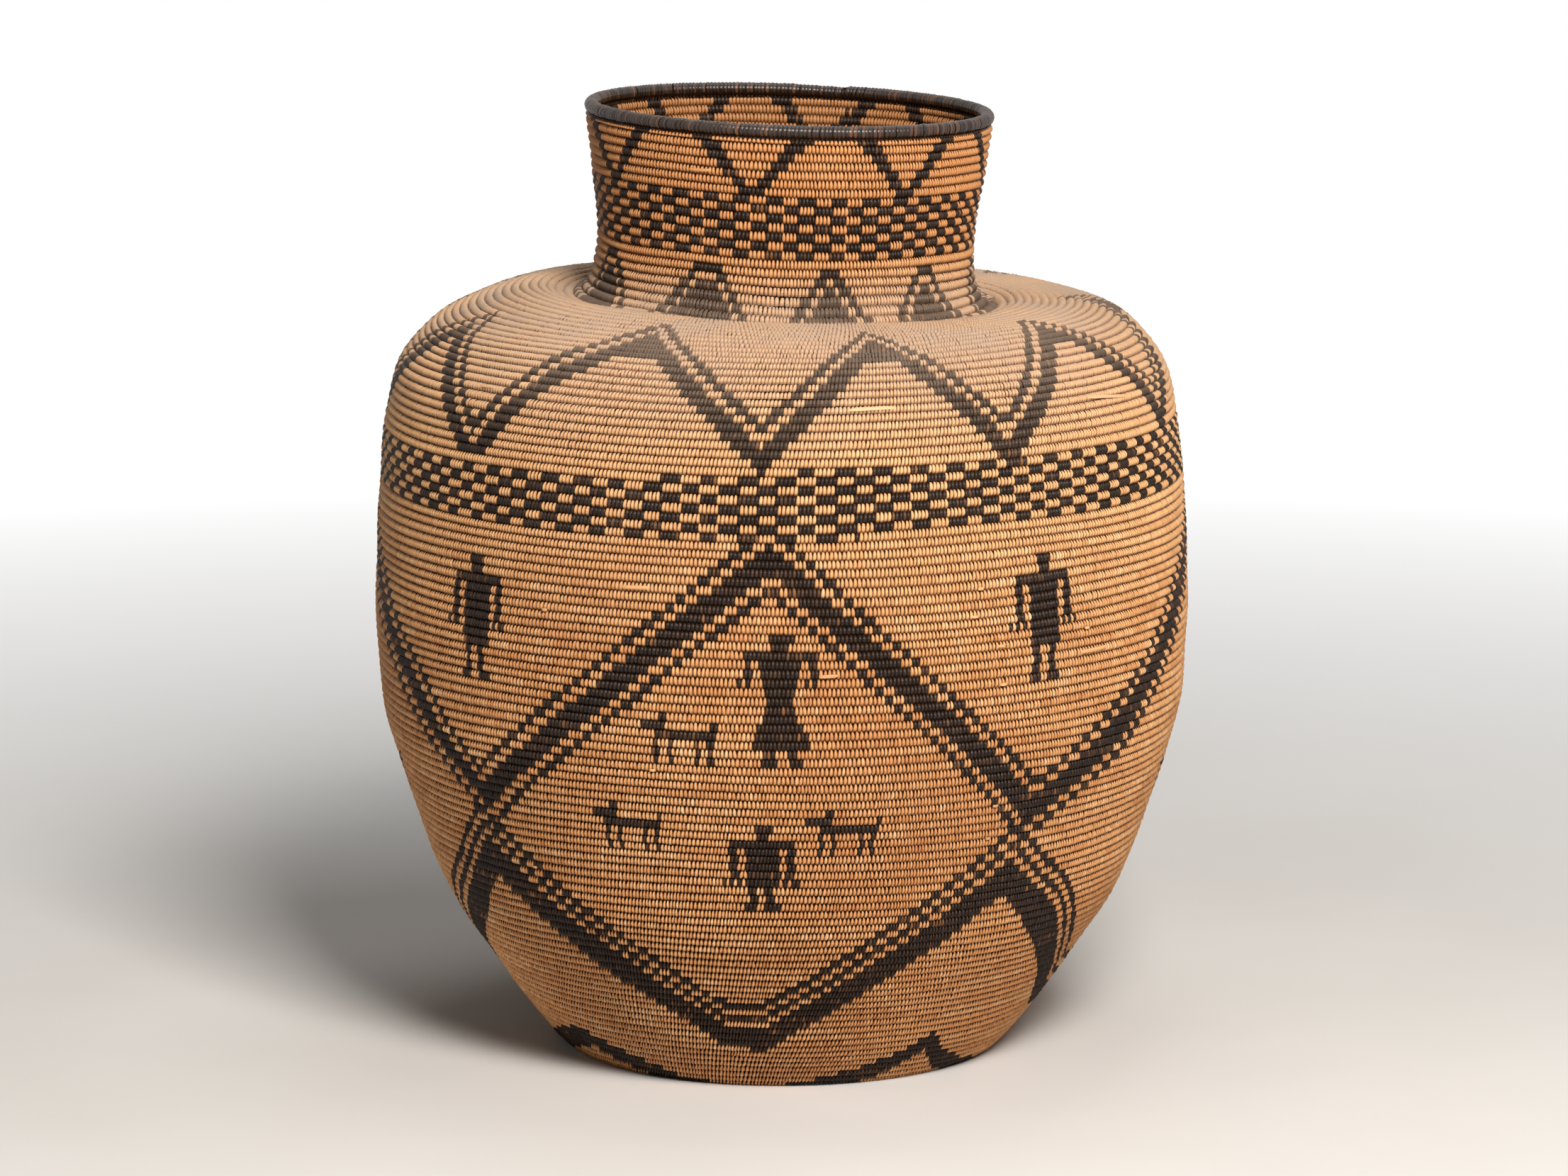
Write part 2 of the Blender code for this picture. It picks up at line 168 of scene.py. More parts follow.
# %% A point on the wall
LEAN = math.radians(1.9)
LEAN_PIVOT = CREST[1] - 0.0298
WORN_FLAT = 0.0001

directions = np.diff(outline, axis=0) / steps_along[:, None]
directions = np.vstack([directions[:1], (directions[1:] + directions[:-1]) / 2, directions[-1:]])


def first_drawn_in(radius):
    """The length at which the wall first draws in to this radius, above the belly."""
    return lengths[np.argmax((outline[:, 1] > BELLY[1]) & (outline[:, 0] < radius))]


LEAN_START = first_drawn_in((BELLY[0] + CREST[0]) / 2)
LEAN_END = first_drawn_in(CREST[0])


def on_wall(length, depth, angle):
    """Points at these lengths up the wall, so deep behind its ridges, at these angles."""
    over = np.maximum(length - WALL_LENGTH, 0.0)
    along = np.stack([np.interp(length, lengths, directions[:, i]) for i in (0, 1)])
    along /= np.linalg.norm(along, axis=0)
    radius = np.interp(length, lengths, outline[:, 0]) + along[0] * over - along[1] * depth
    height = np.interp(length, lengths, outline[:, 1]) + along[1] * over + along[0] * depth
    share = np.clip((length - LEAN_START) / (LEAN_END - LEAN_START), 0, 1)
    tip = LEAN * share**2 * (3 - 2 * share)
    x, y, up = radius * np.cos(angle), radius * np.sin(angle), height - LEAN_PIVOT
    leaned = up * np.cos(tip) - x * np.sin(tip) + LEAN_PIVOT
    x = x * np.cos(tip) + up * np.sin(tip)
    return np.stack([x, y, np.maximum(leaned, WORN_FLAT)], axis=-1)


print("the neck leans by", round(math.degrees(LEAN), 1), "degrees")


# %% [markdown]
# The coil climbs one course for each turn, 154 in all. A place on it is one number: the whole
# part counts the courses, and the rest says how far round the turn it is. The turn starts at the
# back, and seen from the front the coil climbs to the left. Nobody builds a perfect spiral, so a
# few slow waves push the courses up and down by a fraction of a coil, and in and out.

# %% The spiral
COURSES = 154
PITCH = WALL_LENGTH / COURSES
COIL_THICKNESS = 0.0058
SEAM = math.radians(72)
WAVES = 14
WANDER = 0.00042
SWELL = 0.00028
FOOT_LENGTH = 0.125
CALM_LENGTH = 0.02

hand = np.random.default_rng(11)
wave_turns = hand.integers(1, 9, WAVES)
wave_climb = hand.uniform(-150, 150, WAVES)
wave_start = hand.uniform(0, 2 * np.pi, (2, WAVES))


def slow_waves(length, angle, which):
    """A smooth unevenness from about -1 to 1 over the whole wall."""
    total = np.zeros_like(length)
    for turns, climb, start in zip(wave_turns, wave_climb, wave_start[which]):
        total += np.sin(turns * angle + climb * length + start)
    return total / math.sqrt(WAVES / 2)


def on_uneven_wall(length, depth, angle, inside):
    """Points on the coiled wall. Its waves fade out at the foot and at the mouth."""
    from_edge = np.minimum(length - FOOT_LENGTH, WALL_LENGTH - length)
    waves = np.clip(from_edge / CALM_LENGTH, 0, 1)
    length = length + waves * WANDER * slow_waves(length, angle, 0)
    depth = depth + waves * SWELL * slow_waves(length, angle, 1)
    return on_wall(length, COIL_THICKNESS - depth if inside else depth, angle)


def on_coil(place, share, depth, inside=False):
    """Points on the coil: a place along it, a share of the course's height, a depth."""
    height = np.clip(COURSES - place, 0, 1)
    length = np.maximum((place + share * height) * PITCH, 0)
    return on_uneven_wall(length, depth, SEAM - 2 * np.pi * place, inside)


print("a course is", round(PITCH * 1000, 2), "mm high")

# %% [markdown]
# Now the sewing. A stitch passes between two stitches of the course below, so a new stitch sits
# over each gap of the last turn. Where the basket widens, a gap gets wide enough for two, and
# where it narrows, one is left out. Working along the spiral by that rule gives the interlocking
# rows of a real coiled basket, and no stitch needs to be placed by hand. The first turn has nothing
# below it, so it is spaced by the stitches' width alone. How narrow or wide a gap the maker puts up
# with is a matter of luck, or the changes would line up in rings. At the end each stitch is eased
# towards the middle of its two neighbours.

# %% Sewing along the coil
# course, and the width of a stitch there
STITCH_WIDTHS = ((0, 0.0021), (40, 0.0021), (60, 0.0022), (76, 0.00235), (100, 0.0024),
                 (112, 0.0024), (122, 0.00255), (132, 0.0026), (140, 0.0025), (154, 0.0024))
# how narrow and how wide a gap may get, least and most, as shares of a stitch's width
TOO_CLOSE = (0.62, 0.92)
TOO_WIDE = (1.12, 1.55)
TIMES_EASED = 2
FIRST_TURN = 1.02
MOST_GAPS = 4000 * COURSES
LAST_STITCH = COURSES - 0.25


def stitch_spacing():
    """How far along the coil one stitch takes us, for each tenth of a course."""
    place = np.arange(0, COURSES + 1, 0.1)
    radius = np.interp((place + 0.5) * PITCH, lengths, outline[:, 0])
    width = np.interp(place, *zip(*STITCH_WIDTHS))
    return (width / (2 * np.pi * radius)).tolist()


def sew():
    spacing = stitch_spacing()
    places = [0.0]
    while places[-1] < FIRST_TURN:
        places.append(places[-1] + spacing[int(places[-1] * 10)])
    below = 0
    luck = iter(hand.random(MOST_GAPS).tolist())
    while places[-1] < LAST_STITCH:
        ahead = (places[below] + places[below + 1]) / 2 + 1 - places[-1]
        wanted = spacing[int(places[-1] * 10)]
        chance = next(luck)
        if ahead < (TOO_CLOSE[0] + chance * (TOO_CLOSE[1] - TOO_CLOSE[0])) * wanted:
            below += 1
        elif ahead > (TOO_WIDE[0] + chance * (TOO_WIDE[1] - TOO_WIDE[0])) * wanted:
            places.append(places[-1] + ahead / 2)
        else:
            places.append(places[-1] + ahead)
            below += 1
    places = np.array(places)
    for _ in range(TIMES_EASED):
        places[1:-1] = (places[:-2] + 2 * places[1:-1] + places[2:]) / 4
    return places


stitches = sew()
STITCHES = len(stitches)
print("the basket has", STITCHES, "stitches")

# %% [markdown]
# The pattern is a rule that says, for each stitch, whether the maker took dark devil's claw. A
# stitch knows its bearing, in degrees to the right of the front, and its row. A woven figure could
# be painted on, but then its edges would cut through stitches. Choosing stitch by stitch
# gives the stepped edges of the real thing.

# %% Where each stitch is in the pattern
SEAM_BEARING = 162
row = np.floor(stitches)
middle = row + 0.5
bearing = (SEAM_BEARING - 360 * (stitches - row) + 180) % 360 - 180


def away(centre):
    """Degrees to the right of a bearing, the short way round."""
    return (bearing - centre + 180) % 360 - 180


def zigzag(turns):
    """The row of a line that runs straight from each (bearing, row) turn to the next."""
    turns = sorted(turns)
    return np.interp(bearing, *zip(*turns), period=360)


dark = np.zeros(STITCHES, bool)
print("stitches that face the front:", int((np.abs(bearing) < 90).sum()))

# %% [markdown]
# Three bands are checks. A check pattern sewn along one endless coil never joins up row by row:
# the maker counts four dark, four light all the way. An odd number of half checks in a turn makes
# each row fall between the last, so one count along the coil draws the whole band.

# %% Checked bands
def checks(first, last, pairs_in_a_turn):
    """Alternate dark and light groups of stitches between two places on the coil."""
    inside = (stitches >= first) & (stitches < last)
    return inside & (np.floor(stitches * pairs_in_a_turn * 2) % 2 == 0)


CHECKED_BANDS = (
    # first and last place on the coil, pairs of groups in a turn
    (96.42, 102.497, 67.5), (103.05, 103.448, 67.5), (140.2, 147.2, 37.5),
)
for first, last, pairs in CHECKED_BANDS:
    dark |= checks(first, last, pairs)
print("dark stitches in the checks:", int(dark.sum()))

# %% [markdown]
# The zigzags are one idea used three times: a line that rises and falls between turning points,
# with bands of dark stacked over it. The turning points are uneven because the maker fitted them
# by eye. Those at the back can't be seen in the photograph and carry the same rhythm round.

# %% The base points and the lower zigzag
def bands_over(line, bands):
    """Dark where the row is inside one of the bands, in rows above the line."""
    above = middle - line
    found = np.zeros(STITCHES, bool)
    for low, high in bands:
        found |= (above >= low) & (above < high)
    return found


points_top = zigzag([(-75, 27.5), (-60, 30), (-52, 31.2), (-45, 29.5), (-35, 27.5), (-27, 25.5),
                     (-9, 23.2), (8, 25.5), (20, 27.6), (28, 30), (34.5, 33), (40, 29.5),
                     (45, 28), (52, 26), (80, 23.6), (126, 31.5), (172, 23.4), (-142, 31.6),
                     (-97, 23.8)])
POINTS_BAND = (-3.4, 0)
dark |= bands_over(points_top, [POINTS_BAND])

lower_line = zigzag([(-50.5, 54.0), (-33.2, 43.0), (-21.8, 36.9), (-12, 31.8), (-4, 31.3),
                     (7.5, 36.4), (19.2, 43.0), (28, 48.0), (37, 53.5), (44.6, 48.0),
                     (51.7, 43.6), (61.8, 36.9), (70, 31.9), (78, 31.5), (126, 53.6),
                     (168, 31.8), (176, 31.6), (-142, 53.8), (-102, 31.9), (-90, 31.7),
                     (-68, 43.2), (-61, 46.7)])
body = zigzag([(-50, 5.2), (-30, 5.1), (-8, 3.3), (8, 4.2), (28, 4.7), (37, 4.6), (50, 5.8),
               (76, 3.6), (126, 5.0), (172, 3.4), (-142, 5.0), (-96, 3.4)])
thin_bands = [(body + 1.05, body + 2.15), (body + 3.2, body + 4.3)]
dark |= bands_over(lower_line, [(0, body), *thin_bands])
print("with the lower zigzag:", int(dark.sum()))

# %% [markdown]
# The net is a thick cord between two thin ones, drawn in the same way round a line that is its
# middle. The thick cord is a little thicker on the right.

# %% The net
net_line = zigzag([(-1.6, 94.2), (-28, 76.6), (-48, 64.3), (-61.1, 74.2), (-83, 87.6),
                   (-91, 94.2), (38.6, 63.7), (56.2, 72.3), (69.6, 81.1), (91, 94.2),
                   (136, 64.0), (180, 94.2), (-135, 64.2)])
THIN_CORDS = [(-3.9, -2.9), (2.9, 3.9)]
HALF_CORD = 1.72
THICKER_ON_THE_RIGHT = 0.2
half_cord = HALF_CORD + THICKER_ON_THE_RIGHT * np.sin(np.radians(bearing))
net = bands_over(net_line, [*THIN_CORDS, (-half_cord, half_cord)])
dark |= net & (stitches < CHECKED_BANDS[0][0])
print("with the net:", int(dark.sum()))

# %% [markdown]
# The shoulder zigzag is a thick band under a thin one. Its peaks are cut off level, where the maker
# went round under them in one dark row, so the thick band starts no higher than that row.

# %% The shoulder zigzag
shoulder_line = zigzag([(-68, 116.3), (-49.6, 100.6), (-39.4, 109.7), (-24, 119.5),
                        (-2.85, 103.2), (16.3, 119.2), (33.55, 102.8), (53.5, 118.8),
                        (72, 103.0), (93, 119.0), (113, 102.9), (132, 119.2), (152, 103.0),
                        (172, 119.1), (-168, 102.8), (-149, 119.0), (-129, 103.1),
                        (-109, 119.0), (-89, 102.6)])
LEVEL_PEAKS = 117.2
THICK_BAND = 3.1
THIN_BAND = (4.5, 5.9)
ABOVE_CHECKS = 103
thick = (middle >= np.minimum(shoulder_line, LEVEL_PEAKS)) & (middle < shoulder_line + THICK_BAND)
dark |= (thick | bands_over(shoulder_line, [THIN_BAND])) & (middle > ABOVE_CHECKS)
print("with the shoulder zigzag:", int(dark.sum()))

# %% [markdown]
# Round the root of the neck stand outlined triangles, and hanging from the mouth are wide V
# shapes. Both are drawn from a middle line, with an arm to each side.

# %% Triangles at the root of the neck
# middle, and half the width of the flat tip, in degrees
TRIANGLES = ((-65, 4.0), (-24, 4.6), (13.5, 2.6), (47, 3.5), (82, 3.6), (118, 4.0),
             (155, 3.0), (-168, 4.2), (-131, 3.2), (-98, 3.8))
LOWEST_ROW, CORE_TOP_ROW, TIP_ROW = 132, 136, 138
TRIANGLE_SLOPE = 1.9
OUTLINE_WIDTH = 2.9
CORE_INSET = 4.7
for centre, tip in TRIANGLES:
    edge = tip + TRIANGLE_SLOPE * (TIP_ROW - row)
    off = np.abs(away(centre))
    outer = (off < edge) & ((off > edge - OUTLINE_WIDTH) | (row == TIP_ROW))
    core = (off < edge - CORE_INSET) & (row <= CORE_TOP_ROW)
    dark |= (row >= LOWEST_ROW) & (row <= TIP_ROW) & (outer | core)
print("triangles round the neck:", len(TRIANGLES))

# %% V shapes under the rim
V_MIDDLES = (-60, -10.5, 36, 82, 126, 170, -147, -103)
V_LOWEST_ROW = 147
V_TIP = 146.7
V_SLOPE = 2.05
V_HALF_ARM = 1.6
V_ARM_WIDENS = 0.2
for centre in V_MIDDLES:
    from_arm = np.abs(np.abs(away(centre)) - V_SLOPE * (middle - V_TIP))
    half_arm = V_HALF_ARM + V_ARM_WIDENS * (middle - V_LOWEST_ROW)
    dark |= (row >= V_LOWEST_ROW) & (from_arm < half_arm)
print("V shapes under the rim:", len(V_MIDDLES))

# %% [markdown]
# The people and animals stand in the open panels, a few stitches wide. They are built from
# blocks, as a maker counts them: so many stitches for a leg, so many rows for a body. One set is
# read from the photograph, and the panels at the back repeat it.

# %% Figures made of blocks
STITCH_DEGREES = 0.6


def blocks(centre, foot_row, parts, facing=1):
    """Dark blocks (left, right, lowest row, highest row) round a figure's middle line."""
    across = facing * away(centre) / STITCH_DEGREES
    up = row - foot_row
    found = np.zeros(STITCHES, bool)
    for left, right, low, high in parts:
        found |= (across >= left) & (across <= right) & (up >= low) & (up <= high)
    return found


def standing_man(legs, trunk):
    hip, shoulder = legs + 1, legs + trunk
    hand_row = shoulder - 5
    return [(-4.6, -1.6, 0, 0), (0.4, 4.2, 0, 0), (-3.5, -1.6, 1, legs), (0.6, 2.6, 1, legs),
            (-4.3, 4.2, hip, shoulder - 1), (-7.7, 7.6, shoulder, shoulder),
            (-8.3, -6.4, hand_row + 1, shoulder - 1), (5.9, 7.8, hand_row + 1, shoulder - 1),
            (-10.2, -9.3, hand_row, hand_row), (-8.4, -7.5, hand_row, hand_row),
            (-6.7, -5.8, hand_row, hand_row), (5.1, 6.0, hand_row, hand_row),
            (6.8, 7.7, hand_row, hand_row), (8.5, 9.4, hand_row, hand_row),
            (-1.7, 1.7, shoulder + 1, shoulder + 1), (-2.3, 2.3, shoulder + 2, shoulder + 2)]


WOMAN = [(-4.4, -1.2, 0, 0), (1.8, 5.4, 0, 0), (-3.8, -0.9, 1, 1), (1.4, 4.2, 1, 1),
         (-6.6, 6.8, 2, 2), (-6.0, 6.2, 3, 3), (-5.0, 5.0, 4, 4), (-3.8, 3.8, 5, 5),
         (-3.0, 3.0, 6, 8), (-3.8, 3.8, 9, 9), (-4.4, 4.4, 10, 11), (-8.2, 8.2, 12, 12),
         (-8.2, -6.6, 10, 11), (6.6, 8.2, 10, 11), (-9.6, -8.8, 9, 9), (-7.9, -7.1, 9, 9),
         (5.6, 6.4, 9, 9), (7.2, 8.0, 9, 9), (-1.8, 1.8, 13, 13), (-2.4, 2.8, 14, 14)]
ANIMAL = [(-7.0, 7.2, 3, 3), (-7.2, -6.1, 0, 2), (-4.0, -3.0, 0, 2), (2.8, 3.8, 0, 2),
          (5.6, 6.7, 0, 2), (-10.0, -4.2, 4, 4), (-5.4, -3.6, 5, 5), (6.4, 8.0, 4, 4)]
print("blocks in a woman:", len(WOMAN), "and in an animal:", len(ANIMAL))

# %% Set the figures in their panels
# middle bearing and foot row of each man in the net
NET_MEN = ((-46.6, 78), (38.6, 79), (136, 78), (-135, 79))
# middle bearing of each quarter, and which way round its figures go
QUARTERS = ((0, 1), (93.5, -1), (181, 1), (-93.5, 1))
WOMAN_ROW = 71
LOW_MAN_ROW = 53
LOW_ANIMALS_ROW = 60
for centre, foot_row in NET_MEN:
    dark |= blocks(centre, foot_row, standing_man(3, 8))
for quarter, facing in QUARTERS:
    dark |= blocks(quarter - 0.2, WOMAN_ROW, WOMAN)
    dark |= blocks(quarter - 13.4 * facing, WOMAN_ROW, ANIMAL, facing)
    dark |= blocks(quarter - 2.8 * facing, LOW_MAN_ROW, standing_man(2, 6))
    dark |= blocks(quarter - 22.0 * facing, LOW_ANIMALS_ROW, ANIMAL, facing)
    dark |= blocks(quarter + 9.6 * facing, LOW_ANIMALS_ROW, ANIMAL, facing)
print("dark stitches:", int(dark.sum()))

# %% [markdown]
# Each stitch is a flat splint bent over the coil. It comes up between two stitches of the course
# below, is widest just above that, and thins where it goes over the top, so the tips stand apart
# with dark notches between them. Low on the wall a tip is a true point, and higher up it is fuller.
# Six stations along it and three points across are enough for a rounded grain of rice, and few
# enough to make seventy thousand of them. On the foot and the shoulder the stitches lean. One
# splint is long enough for a dozen stitches or so, so its number is nearly the same for a run.

# %% The shape of one stitch
OUTSIDE_STATIONS = (
    # share of the course, depth, half the width as a share, how far its edges drop
    (-0.08, 0.00215, 0.50, 0.00030),
    (0.08, 0.00092, 0.88, 0.00084),
    (0.30, 0.00014, 0.95, 0.00112),
    (0.56, 0.00010, 0.86, 0.00108),
    (0.81, 0.00100, 0.55, 0.00070),
    (1.03, 0.00260, 0.11, 0.00020),
)
INSIDE_STATIONS = (
    (-0.04, 0.00175, 0.62, 0.00030),
    (0.30, 0.00025, 0.96, 0.00060),
    (0.66, 0.00022, 0.90, 0.00060),
    (1.02, 0.00190, 0.50, 0.00030),
)
ACROSS = np.array([-1.0, 0.0, 1.0])
# row and sideways lean in metres, then row and how pointed the tips are
LEAN_BY_ROW = ((0, 0.0012), (32, 0.0013), (50, 0.0006), (70, 0.0002), (95, 0.0002),
               (106, 0.0008), (118, 0.0006), (130, 0.0002), (154, 0.0))
POINTED_BY_ROW = ((0, 1.0), (48, 1.0), (62, 0.8), (90, 0.58), (104, 0.42), (125, 0.5),
                  (154, 0.65))
SPLINT_RUN = (7, 22)
LEANS_ABOUT = 0.4
GROWS_ABOUT = 0.45

own = np.random.default_rng(5)
halfway = (stitches[1:] + stitches[:-1]) / 2
ends = 2 * stitches[[0, -1]] - halfway[[0, -1]]
halfway = np.concatenate([ends[:1], halfway, ends[1:]])
wall_radius = np.interp((stitches + 0.5) * PITCH, lengths, outline[:, 0])
half_width = np.diff(halfway) * np.pi * wall_radius * own.normal(1.0, 0.05, STITCHES)
run_lengths = own.integers(*SPLINT_RUN, STITCHES // SPLINT_RUN[0])
run = np.repeat(own.random(len(run_lengths)), run_lengths)[:STITCHES]
splint = np.clip(0.25 + 0.5 * run + own.normal(0, 0.13, STITCHES), 0, 1)
stitch_lean = np.interp(stitches, *zip(*LEAN_BY_ROW)) + own.normal(0, 0.00022, STITCHES)
pointed = np.interp(stitches, *zip(*POINTED_BY_ROW)) * own.normal(1.0, 0.12, STITCHES)
proud = own.normal(0, 0.00010, STITCHES)
reach = own.normal(1.0, 0.035, STITCHES)
print("a stitch is", round(2000 * float(half_width.mean()), 2), "mm wide on average")


def stitch_points(chosen, stations, inside=False):
    """The chosen stitches' points, as stitches x stations x across x 3."""
    share, depth, width, drop = (np.array(column)[None, :, None] for column in zip(*stations))
    k = chosen[:, None, None]
    side = ACROSS[None, None, :]
    x = side * width ** pointed[k] * half_width[k] + (share - LEANS_ABOUT) * stitch_lean[k]
    place = stitches[k] - x / (2 * np.pi * wall_radius[k])
    depth = depth + drop * side**2 + proud[k]
    share = GROWS_ABOUT + (share - GROWS_ABOUT) * reach[k]
    return on_coil(place, np.broadcast_to(share, place.shape), depth, inside)


# %% [markdown]
# Making a mesh by adding faces one at a time would take minutes here. Blender can take whole
# arrays at once, so all the stitches of a piece go in together as one grid of four-sided faces
# each. Every stitch carries its own number from 0 to 1, and each point says how far along and
# across its splint it is. The material reads these to give each splint its own tint and fibres.
# The map gives each stitch its own small tile, so that a painted copy keeps them apart.
# The tiles stop short of each other, so no stitch takes colour from the next.

# %% From points to a piece
def grid_faces(count, stations, across):
    """Four-sided faces over each stitch's grid of points."""
    a, b = np.meshgrid(np.arange(stations - 1), np.arange(across - 1), indexing="ij")
    corner = (a * across + b).ravel()
    quad = np.stack([corner, corner + 1, corner + across + 1, corner + across], axis=1)
    return (np.arange(count)[:, None, None] * stations * across + quad).reshape(-1, 4)


def stitch_tiles(count, stations, across):
    """A place on the map for each point: one tile a stitch, twice as tall as wide."""
    columns = math.ceil(math.sqrt(2 * count))
    rows = math.ceil(count / columns)
    number = np.arange(count)[:, None, None]
    u = 0.1 + 0.8 * np.linspace(0, 1, across)[None, None, :]
    v = 0.05 + 0.9 * np.linspace(0, 1, stations)[None, :, None]
    u, v = np.broadcast_arrays((number % columns + u) / columns, (number // columns + v) / rows)
    return np.stack([u, v], axis=-1).reshape(-1, 2)


def mesh_piece(name, points, faces, tiles, values, material):
    """A smooth mesh object from arrays of points, faces, map places and point values."""
    mesh = bpy.data.meshes.new(name)
    mesh.vertices.add(len(points))
    mesh.vertices.foreach_set("co", points.astype(np.float32).ravel())
    mesh.loops.add(faces.size)
    mesh.loops.foreach_set("vertex_index", faces.astype(np.int32).ravel())
    mesh.polygons.add(len(faces))
    mesh.polygons.foreach_set("loop_start", np.arange(0, faces.size, faces.shape[1], dtype=np.int32))
    mesh.update(calc_edges=True)
    mesh.shade_smooth()
    for key, value in values.items():
        layer = mesh.attributes.new(key, "FLOAT", "POINT")
        layer.data.foreach_set("value", value.astype(np.float32).ravel())
    if tiles is not None:
        mesh.uv_layers.new(name="OFBake").data.foreach_set(
            "uv", tiles[faces.ravel()].astype(np.float32).ravel())
    mesh.materials.append(material)
    piece = bpy.data.objects.new(name, mesh)
    bpy.context.scene.collection.objects.link(piece)
    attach(piece, "root")
    return piece


def stitched_piece(name, chosen, stations, material, inside=False):
    points = stitch_points(chosen, stations, inside)
    count, along, across = points.shape[:3]
    faces = grid_faces(count, along, across)
    if inside:
        faces = faces[:, ::-1]
    shape = (count, along, across)
    values = {
        "splint": np.broadcast_to(splint[chosen][:, None, None], shape),
        "along": np.broadcast_to(np.linspace(0, 1, along)[None, :, None], shape),
        "across": np.broadcast_to(ACROSS[None, None, :], shape),
    }
    tiles = stitch_tiles(count, along, across)
    piece = mesh_piece(name, points.reshape(-1, 3), faces, tiles, values, material)
    return piece


# %% [markdown]
# A finish is a small graph of nodes. It could be joined by hand in the shader editor, but a dozen
# layers are easier to read as lines. So a few helpers add the usual nodes: a sum, a noise, a
# value spread over a new range, a mix of two colours, and a ramp of several.

# %% A helper for node graphs
DULL_GLOSS = 0.17


class Graph:
    """Adds and joins nodes in a material or in the world."""

    def __init__(self, tree):
        self.tree = tree

    def add(self, kind, **settings):
        node = self.tree.nodes.new(kind)
        for key, value in settings.items():
            setattr(node, key, value)
        return node

    def join(self, source, target):
        if isinstance(source, (int, float, tuple)):
            target.default_value = source
        else:
            self.tree.links.new(source, target)

    def math(self, operation, a, b=0.0):
        node = self.add("ShaderNodeMath", operation=operation)
        self.join(a, node.inputs[0])
        self.join(b, node.inputs[1])
        return node.outputs[0]

    def value(self, name):
        return self.add("ShaderNodeAttribute", attribute_name=name).outputs["Fac"]

    def position(self):
        """A point's place on the basket, in metres."""
        return self.add("ShaderNodeTexCoord").outputs["Object"]

    def height_of(self, vector):
        """A vector's third number: how high a point is, or how far up a normal points."""
        node = self.add("ShaderNodeSeparateXYZ")
        self.join(vector, node.inputs[0])
        return node.outputs["Z"]

    def noise(self, vector, scale, detail, rough):
        node = self.add("ShaderNodeTexNoise")
        self.join(vector, node.inputs["Vector"])
        self.join(scale, node.inputs["Scale"])
        self.join(detail, node.inputs["Detail"])
        self.join(rough, node.inputs["Roughness"])
        return node.outputs["Fac"]

    def spread(self, source, low, high, to_low=0.0, to_high=1.0):
        node = self.add("ShaderNodeMapRange", clamp=True)
        for socket, value in zip(node.inputs, (source, low, high, to_low, to_high)):
            self.join(value, socket)
        return node.outputs["Result"]

    def mix(self, amount, first, second):
        node = self.add("ShaderNodeMix", data_type="RGBA")
        self.join(amount, node.inputs["Factor"])
        self.join(first, node.inputs[6])
        self.join(second, node.inputs[7])
        return node.outputs[2]

    def ramp(self, source, stops):
        node = self.add("ShaderNodeValToRGB")
        while len(node.color_ramp.elements) < len(stops):
            node.color_ramp.elements.new(0.5)
        for element, stop in zip(node.color_ramp.elements, stops):
            element.position, element.color = stop
        self.join(source, node.inputs["Fac"])
        return node.outputs["Color"]


class Finish(Graph):
    """The graph of a new material, with its shader."""

    def __init__(self, name):
        self.material = bpy.data.materials.new(name)
        self.material.use_nodes = True
        super().__init__(self.material.node_tree)
        self.shader = self.tree.nodes["Principled BSDF"]
        self.shader.inputs["Specular IOR Level"].default_value = DULL_GLOSS


def colour(red, green, blue):
    """A colour picked as 0 to 255 on screen, as the light values that Blender works in."""
    return tuple((c / 255 / 12.92) if c <= 10 else ((c / 255 + 0.055) / 1.055) ** 2.4
                 for c in (red, green, blue)) + (1.0,)


# %% [markdown]
# A splint is split wood, so both plants show fine fibres along it. Down each edge, where it turns
# under, and at both ends, where it goes into the coil, shade is painted in as a darker colour, so
# the brightest place is a painted highlight a little above its middle. Dust has settled where the
# shoulder faces up. Each of these is a layer mixed over the last, and the layers that both plants
# need are written once.

# %% What willow and devil's claw share
# how far along a splint the painted highlight is, and heights in metres: from no dust to most
PAINTED_HIGHLIGHT_PART = 0.6
DUSTY_HEIGHTS = (0.375, 0.447)
CLEAN_NECK = (0.475, 0.455)


def splint_fibres(graph):
    """Fine streaks along each splint, different on every one."""
    own_number = graph.value("splint")
    place = graph.add("ShaderNodeCombineXYZ")
    graph.join(graph.math("MULTIPLY_ADD", own_number, 40.0), place.inputs[2])
    across = graph.math("ADD", graph.math("MULTIPLY", graph.value("across"), 1.1),
                        graph.math("MULTIPLY", own_number, 71.0))
    graph.join(across, place.inputs[0])
    graph.join(graph.math("MULTIPLY", graph.value("along"), 0.45), place.inputs[1])
    return graph.noise(place.outputs[0], 4.0, 3.0, 0.6)


def by_height(graph, position, none, full):
    """From 0 at one height to 1 at another."""
    return graph.spread(graph.height_of(position), none, full)


def dust_on_top(graph, position, most):
    """Most where the shoulder faces up, broken into patches."""
    normal = graph.add("ShaderNodeNewGeometry").outputs["Normal"]
    facing_up = graph.spread(graph.height_of(normal), 0.15, 0.9, 0.55, 1.0)
    layer = graph.math("MULTIPLY", by_height(graph, position, *DUSTY_HEIGHTS),
                       by_height(graph, position, *CLEAN_NECK))
    patches = graph.spread(graph.noise(position, 22.0, 4.0, 0.6), 0.3, 0.7, 0.55, 1.0)
    layer = graph.math("MULTIPLY", graph.math("MULTIPLY", layer, patches), facing_up)
    return graph.math("MULTIPLY", layer, most)


